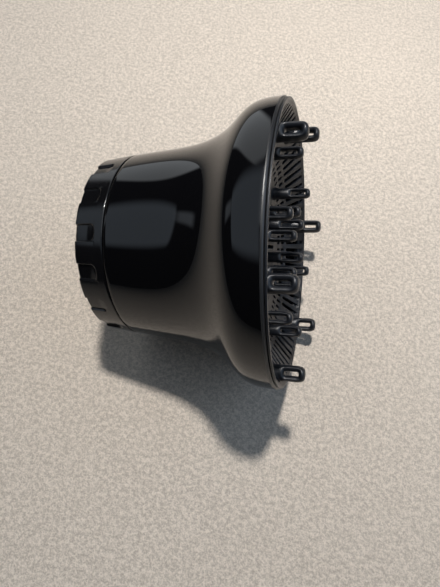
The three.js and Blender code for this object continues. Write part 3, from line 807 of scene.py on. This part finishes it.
def plate(rows, sectors, spans, thick=2.2):
    """A band of the face, as (front, back) grids and faces; a vent may lie along each sector's middle."""
    step = 360.0 / sectors
    lanes = 8
    n, m = sectors * lanes, len(rows)
    ang = np.zeros((n, m))
    hole = np.zeros((n, m - 1), bool)
    for k in range(sectors):
        centre = step * k
        mine = [sp for sp in spans if not under_prong(sp, centre)]
        hs = [next((h for h in (vent_half(r, sp) for sp in mine) if h is not None), None) for r in rows]
        for j, r in enumerate(rows):
            half = step / 2
            if hs[j] is None:
                a = np.linspace(-half, half, lanes + 1)[:-1]
            else:
                hd = math.degrees(math.asin(hs[j] / r))
                rest = half - hd
                a = np.array([-half, -half + rest * 0.5, -hd, -hd * 0.33, hd * 0.33, hd, hd + rest * 0.34, hd + rest * 0.68])
            ang[k * lanes:(k + 1) * lanes, j] = centre + a
        for j in range(m - 1):
            if any(sp[0] - 1e-6 <= rows[j] and rows[j + 1] <= sp[1] + 1e-6 for sp in mine):
                hole[k * lanes + 2:k * lanes + 5, j] = True
    s = face_s(rows)
    ds = (face_s(rows + 0.2) - face_s(rows - 0.2)) / 0.4
    ln = np.hypot(1, ds)
    back_r, back_s = rows + ds / ln * thick, s - thick / ln
    back_r = np.where(rows > 74, np.minimum(back_r, 76.6), back_r)
    a = np.radians(ang)
    front = np.stack([np.cos(a) * rows[None], np.sin(a) * rows[None], np.broadcast_to(s[None], a.shape)], -1)
    back = np.stack([np.cos(a) * back_r[None], np.sin(a) * back_r[None], np.broadcast_to(back_s[None], a.shape)], -1)
    faces = []
    B = n * m

    def solid(i, j):
        return 0 <= j < m - 1 and not hole[i % n, j]

    for i in range(n):
        i2 = (i + 1) % n
        for j in range(m - 1):
            if hole[i, j]:
                continue
            p, q, r_, u = i * m + j, i2 * m + j, i2 * m + j + 1, i * m + j + 1
            faces.append((p, q, r_, u))
            faces.append((B + p, B + u, B + r_, B + q))
            if not solid(i - 1, j):
                faces.append((p, u, B + u, B + p))
            if not solid(i + 1, j):
                faces.append((q, B + q, B + r_, r_))
            if j + 1 < m - 1 and not solid(i, j + 1):
                faces.append((u, r_, B + r_, B + u))
            if j > 0 and not solid(i, j - 1):
                faces.append((p, B + p, B + q, q))
    return np.concatenate([front.reshape(-1, 3), back.reshape(-1, 3)]), faces, ang


def stitch(a_ids, a_deg, b_ids, b_deg):
    """Triangles between two closed loops of different counts, both in turning order."""
    out = []
    na, nb = len(a_ids), len(b_ids)
    i = j = 0
    while i < na or j < nb:
        ea = a_deg[(i + 1) % na] + 360 * ((i + 1) // na)
        eb = b_deg[(j + 1) % nb] + 360 * ((j + 1) // nb)
        if j >= nb or (i < na and ea <= eb):
            out.append((a_ids[i % na], a_ids[(i + 1) % na], b_ids[j % nb]))
            i += 1
        else:
            out.append((a_ids[i % na], b_ids[(j + 1) % nb], b_ids[j % nb]))
            j += 1
    return out


def vent_rows(spans, plain):
    rows = set(plain)
    for r0, r1 in spans:
        rows |= {round(r0 + e, 3) for e, _ in VENT_ENDS} | {round(r1 - e, 3) for e, _ in VENT_ENDS}
        rows |= set(np.round(np.arange(r0 + 2.6, r1 - 2.0, 1.6), 3))
    return np.array(sorted(rows))


def build_face():
    outer_rows = vent_rows([LONG_VENT, *SHORT_VENTS], [49.0, 50.2, 76.0, 76.6])
    inner_rows = vent_rows([INNER_VENT], [2.0, 4.5, 7.0, 9.5, 12.5, 15.5, 18.5, 21.5, 24.2, 47.2])
    ov, of_, oa = plate(outer_rows, VENTS, [LONG_VENT, *SHORT_VENTS])
    iv, if_, ia = plate(inner_rows, INNER_VENTS, [INNER_VENT])
    on, om = oa.shape
    inn, im = ia.shape
    at = len(ov)
    verts = [ov, iv]
    faces = list(of_) + [tuple(x + at for x in f) for f in if_]
    o_deg, i_deg = oa[:, 0], ia[:, -1]
    oid, iid = np.arange(on) * om, at + np.arange(inn) * im + im - 1
    # both loops start half a sector before zero: start the finer one at the nearer point
    for off_o, off_i, flip in ((0, 0, False), (on * om, inn * im, True)):
        for f in stitch(list(iid + off_i), list(i_deg), list(oid + off_o), list(o_deg)):
            faces.append(f[::-1] if flip else f)
    # the middle runs to a point, and the outer edge is closed
    top = at + len(iv)
    verts.append(np.array([[0, 0, float(face_s(0))], [0, 0, float(face_s(0)) - 2.2]]))
    for i in range(inn):
        a0, a1 = at + i * im, at + ((i + 1) % inn) * im
        faces.append((top, a0, a1))
        faces.append((top + 1, a1 + inn * im, a0 + inn * im))
    B = on * om
    for i in range(on):
        u, w = i * om + om - 1, ((i + 1) % on) * om + om - 1
        faces.append((u, B + u, B + w, w))
    ob = finish_mesh("prong_face", turned_by(np.concatenate(verts), FACE_TURN), faces, sharp=40)
    bev = ob.modifiers.new("eased", "BEVEL")
    bev.width, bev.segments, bev.limit_method, bev.angle_limit = 0.00020, 2, "ANGLE", rad(50)
    bev.use_clamp_overlap = True
    bpy.context.view_layer.update()
    me = bpy.data.meshes.new_from_object(ob.evaluated_get(bpy.context.evaluated_depsgraph_get()))
    ob.modifiers.clear()
    old, ob.data = ob.data, me
    bpy.data.meshes.remove(old)

    # edge of the face: flat lip, and the skirt that snaps into the bell
    lip = rounded([(102.9, 76.0, 0), (FACE_S - 0.60, 76.0, 0), (FACE_S, 76.8, 0.35), (FACE_S, FACE_R, 0.35), (104.3, FACE_R, 0.25), (104.3, 75.1, 0.2),
                   (101.4, 75.1, 0.2), (100.9, 75.35, 0.2), (100.2, 75.35, 0.2), (99.6, 74.9, 0.3), (99.6, 73.4, 0.3), (101.0, 73.4, 0.2)], 0.3, 4)
    parts = [lathe(lip, 312)]
    for ring in RINGS:
        for k in range(6):
            turn = ring["turn"] + 60 * k
            v, f = prong(ring, SLOT_TURN - turn)
            parts.append((turned_by(v, turn), f))
    v, f = merged(parts)
    more = finish_mesh("face_more", turned_by(v, FACE_TURN), f, sharp=60)
    bm = bmesh.new()
    bm.from_mesh(ob.data)
    bm.from_mesh(more.data)
    bm.to_mesh(ob.data)
    bm.free()
    bpy.data.objects.remove(more)
    shade(ob, 50)
    return dress(ob, "diffuser_face")


def prong(ring, slot_deg):
    """One prong standing at +X: a round post with a domed tip and a funnel-mouthed slot
    right through it, drawn as a coarse cage and subdivided. slot_deg turns the slot."""
    R, tip, (z0, z1) = ring["d"] / 2, ring["tip"], ring["slot"]
    foot = float(face_s(ring["r"]))
    cd, sd = math.cos(rad(slot_deg - 90)), math.sin(rad(slot_deg - 90))
    w = SLOT_W / 2
    e = 1.55 if R > 4 else 1.35                          # how far the funnel runs past each end of the slot
    us = [-1.0, -0.72, -0.40, 0.0, 0.40, 0.72, 1.0]      # across the slot
    vs = [-1.0, -0.70, -0.25, 0.25, 0.70, 1.0]           # through it
    plain_edge, mouth_edge = (22, 42, 60), (math.degrees(math.asin(0.70)), 56, 66)
    below = z0 - e - 0.9
    n_low = max(2, int(round((below - foot - 1.5) / 3.2)) + 1)
    low = list(np.linspace(foot + 1.5, below, n_low))
    zs = [foot - 1.2, foot + 0.25] + low + [z0, z0 + (z1 - z0) * 0.2, (z0 + z1) / 2, z1 - (z1 - z0) * 0.2, z1, tip - 1.25, tip - 0.18, tip + 0.10]
    kb = 2 + n_low
    kt = kb + 4
    shrink = {kt: 1.0, kt + 1: 0.90, kt + 2: 0.66, kt + 3: 0.34}
    nu, nv, nz = 6, 5, len(zs) - 1

    def place(i, j, k):
        mouth = kb <= k <= kt
        t2, t1, tc = mouth_edge if mouth else plain_edge
        if k in (kb - 1, kt + 1):
            t2, t1, tc = [(p + q) / 2 for p, q in zip(plain_edge, mouth_edge)]
        z = zs[k]
        if j in (0, 5):
            th = rad([-tc, -t1, -t2, 0, t2, t1, tc][i])
            x, y = R * math.sin(th), R * math.cos(th) * (1 if j == 5 else -1)
        elif i in (0, 6):
            rest = (90 - tc)
            th = rad([0, 90 + rest * 0.52, 90 + rest * 0.17, 90 - rest * 0.17, 90 - rest * 0.52][j])
            x, y = R * math.sin(th) * (1 if i == 6 else -1), R * math.cos(th)
        elif mouth:
            x = {1: -(w + R) * 0.52, 2: -w * 1.06, 3: 0, 4: w * 1.06, 5: (w + R) * 0.52}[i]
            y = R * {1: -0.46, 2: -0.17, 3: 0.17, 4: 0.46}[j]
        else:
            u, v = us[i], vs[j]
            x, y = R * u * math.sqrt(1 - v * v / 2), R * v * math.sqrt(1 - u * u / 2)
        # the slot's ends: round inside, and flared at the mouth
        if i in (2, 3, 4) and k in (kb, kt):
            sign = 1 if k == kt else -1
            if j in (0, 5):
                z += sign * (e if i == 3 else e * 0.62)
            elif j in (1, 4):
                z += sign * 0.20
        if k == kt and j in (0, 5) and i in (1, 5):
            z += 0.35
        if k == kt + 1 and j in (0, 5) and i in (2, 3, 4):
            z += 0.42
        if k == kb - 1 and j in (0, 5) and i in (2, 3, 4):
            z -= 0.25
        grow = shrink.get(k, 1.0)
        if k == kt and j in (0, 5) and i in (2, 3, 4):
            grow = 0.985
        if k <= 1:
            grow = 1.20 if k == 0 else 1.16
        elif k == 2:
            grow = 1.02
        x, y = x * grow * 1.022, y * grow * 1.022
        px, py = x * cd - y * sd, x * sd + y * cd
        if k <= 2:
            z = float(face_s(math.hypot(ring["r"] + px, py))) + {0: -1.3, 1: 0.25, 2: 1.7}[k]
        return ring["r"] + px, py, z

    idx, verts, faces = {}, [], []

    def vid(c):
        if c not in idx:
            idx[c] = len(verts)
            verts.append(place(*c))
        return idx[c]

    def full(c):
        i, j, k = c
        return 0 <= i < nu and 0 <= j < nv and 0 <= k < nz and not (i in (2, 3) and kb <= k < kt)

    for i in range(nu):
        for j in range(nv):
            for k in range(nz):
                if not full((i, j, k)):
                    continue
                for axis in range(3):
                    for d in (-1, 1):
                        q = [i, j, k]
                        q[axis] += d
                        if full(tuple(q)):
                            continue
                        c = [i, j, k]
                        c[axis] += (d + 1) // 2
                        o1, o2 = [x for x in range(3) if x != axis]
                        p = [list(c) for _ in range(4)]
                        p[1][o1] += 1
                        p[2][o1] += 1
                        p[2][o2] += 1
                        p[3][o2] += 1
                        faces.append(tuple(vid(tuple(x)) for x in p))
    me = bpy.data.meshes.new("prong")
    me.from_pydata(verts, [], faces)
    bm = bmesh.new()
    bm.from_mesh(me)
    bmesh.ops.recalc_face_normals(bm, faces=bm.faces)
    bm.to_mesh(me)
    bm.free()
    ob = bpy.data.objects.new("prong", me)
    bpy.context.scene.collection.objects.link(ob)
    sub = ob.modifiers.new("round", "SUBSURF")
    sub.levels = sub.render_levels = 2
    bpy.context.view_layer.update()
    em = bpy.data.meshes.new_from_object(ob.evaluated_get(bpy.context.evaluated_depsgraph_get()))
    v = np.array([p.co for p in em.vertices], float)
    f = [tuple(p.vertices) for p in em.polygons]
    bpy.data.objects.remove(ob)
    bpy.data.meshes.remove(me)
    bpy.data.meshes.remove(em)
    return v, f


build_shell()
build_collar()
build_snap_ring()
build_o_ring()
build_hub()
build_screws()
build_jaws()
build_face()

# ----------------------------------------------------------- floor and lights
def floor():
    me = bpy.data.meshes.new("floor")
    n = 128
    z = -0.0003                                         # the rounder visual rim reaches this low
    me.from_pydata([(1.35 * math.cos(2 * math.pi * k / n), 1.35 * math.sin(2 * math.pi * k / n), z) for k in range(n)], [],
                   [tuple(range(n))])
    ob = bpy.data.objects.new("floor", me)
    bpy.context.scene.collection.objects.link(ob)
    n = Nodes("pale_floor")
    clouds = n.noise(9, 4, 0.55)
    tuft = n.math("ADD", n.math("MULTIPLY", n.noise(390, 4, 0.7), 0.55), n.math("MULTIPLY", n.noise(1050, 3, 0.6), 0.45))
    n.put("Base Color", n.mix(n.ramp(tuft, 0.38, 0.62), n.mix(clouds, (0.440, 0.385, 0.328), (0.505, 0.447, 0.384)),
                              (0.740, 0.655, 0.565)))
    n.put("Roughness", n.ramp(clouds, 0.3, 0.7, 0.85, 0.95))
    n.put("Specular IOR Level", 0.15)
    n.put("Normal", n.bump(tuft, 0.75, 0.0016))
    me.materials.append(n.m)


floor()


def area(name, at, to, size, power, color=(1, 1, 1), glossy=True, shape="RECTANGLE"):
    li = bpy.data.lights.new(name, "AREA")
    li.shape, li.size, li.size_y = shape, size[0], size[1]
    li.energy, li.color = power, color
    ob = bpy.data.objects.new(name, li)
    bpy.context.scene.collection.objects.link(ob)
    ob.location = at
    ob.rotation_mode = "QUATERNION"
    ob.rotation_quaternion = (Vector(to) - Vector(at)).to_track_quat("-Z", "Y")
    ob.visible_glossy = glossy
    return ob


def glow(name, at, to, size, radiance, color, glossy=True):
    """A soft panel, stated by how bright it looks rather than by its power."""
    return area(name, at, to, size, radiance * math.pi * size[0] * size[1], color, glossy)


def soften(ob, u, v):
    """Fades a panel out towards its edges, over u and v of its width and height."""
    li = ob.data
    li.use_nodes = True
    tree = li.node_tree
    geo = tree.nodes.new("ShaderNodeNewGeometry")
    split = tree.nodes.new("ShaderNodeSeparateXYZ")
    tree.links.new(geo.outputs["Parametric"], split.inputs[0])
    level = None
    for socket, edge in ((split.outputs[0], u), (split.outputs[1], v)):
        for flip in (False, True):
            m = tree.nodes.new("ShaderNodeMapRange")
            m.interpolation_type = "SMOOTHSTEP"
            m.inputs["From Min"].default_value = 1.0 if flip else 0.0
            m.inputs["From Max"].default_value = 1.0 - edge if flip else edge
            tree.links.new(socket, m.inputs["Value"])
            if level is None:
                level = m.outputs["Result"]
            else:
                k = tree.nodes.new("ShaderNodeMath")
                k.operation = "MULTIPLY"
                tree.links.new(level, k.inputs[0])
                tree.links.new(m.outputs["Result"], k.inputs[1])
                level = k.outputs[0]
    tree.links.new(level, tree.nodes["Emission"].inputs["Strength"])


# a small lamp almost overhead throws the shadow; it lights a pool of floor
key = area("key", (-0.058, 0.325, 1.20), (0.13, 0.24, 0.0), (0.085, 0.085), 4.2, (1.0, 0.968, 0.93), glossy=True)
key.data.spread = rad(92)
# what the glossy bell mirrors: a pale wall on the far left, the ceiling, a paler strip by its edge
soften(glow("wall", (-1.00, 1.80, 0.95), (0, 0, 0.95), (1.25, 3.10), 0.82, (0.93, 0.98, 1.02)), 0.10, 0.16)
soften(glow("ceiling", (-1.22, -0.13, 1.05), (-1.22, -0.13, 0.0), (1.85, 1.75), 0.52, (0.80, 0.92, 1.06)), 0.12, 0.22)
sky = glow("skylight", (0.26, 0.18, 1.25), (0.26, 0.18, 0.0), (1.75, 1.15), 0.95, (0.94, 0.98, 1.03))
sky.visible_diffuse = False
soften(sky, 0.10, 0.15)
soften(glow("streak", (-2.0, 0.22, 0.66), (0, 0, 0.66), (0.50, 0.95), 0.50, (0.86, 0.94, 1.04)), 0.35, 0.30)
# side light for the face and the rim's lip, and plain fill that leaves no reflections
soften(glow("side", (1.35, 0.25, 1.10), (0, 0, 0.25), (2.50, 1.80), 0.92, (0.72, 0.92, 1.18)), 0.20, 0.20)
area("fill", (0.2, 1.55, 1.45), (0, 0, 0.0), (2.2, 1.6), 1.0, (0.88, 0.94, 1.0), glossy=False)

wd = bpy.data.worlds.new("room")
bpy.context.scene.world = wd
wd.use_nodes = True
bg = wd.node_tree.nodes["Background"]
# a pale backdrop behind the floor's edge, which lights almost nothing
ray = wd.node_tree.nodes.new("ShaderNodeLightPath")
tone = wd.node_tree.nodes.new("ShaderNodeMix")
tone.data_type = "RGBA"
tone.inputs[6].default_value = (0.016, 0.0172, 0.020, 1)
tone.inputs[7].default_value = (0.40, 0.38, 0.355, 1)
wd.node_tree.links.new(ray.outputs["Is Camera Ray"], tone.inputs[0])
wd.node_tree.links.new(tone.outputs[2], bg.inputs["Color"])
bg.inputs["Strength"].default_value = 1.0

# --------------------------------------------------------------------- camera
E = rad(60.65)
UP = -EX
NEAR = UP * math.sin(E) - EY * math.cos(E)
ACROSS = -UP * math.cos(E) - EY * math.sin(E)


def seen(v):
    """A direction or offset (along the axis, near, across) in the row frame."""
    return AX * v[0] + NEAR * v[1] + ACROSS * v[2]


right = seen((0.96117753, -0.27558989, -0.01370983))
down = seen((0.04218866, 0.097677, 0.99432355))
ahead = seen((-0.27268639, -0.95629986, 0.10551171))
cam = bpy.data.cameras.new("camera")
cam.sensor_width, cam.sensor_fit = 36, "AUTO"
cam.lens = 441.0 / 587.0 * 36
cam.clip_start, cam.clip_end = 0.01, 20
co = bpy.data.objects.new("camera", cam)
bpy.context.scene.collection.objects.link(co)
rot = Matrix((right, -down, -ahead)).transposed().to_4x4()
co.matrix_world = Matrix.Translation(ORIGIN + seen((0.1356226, 0.2515542, 0.0))) @ rot
bpy.context.scene.camera = co

bpy.context.scene.view_settings.view_transform = "Standard"
bpy.context.scene.view_settings.look = "None"
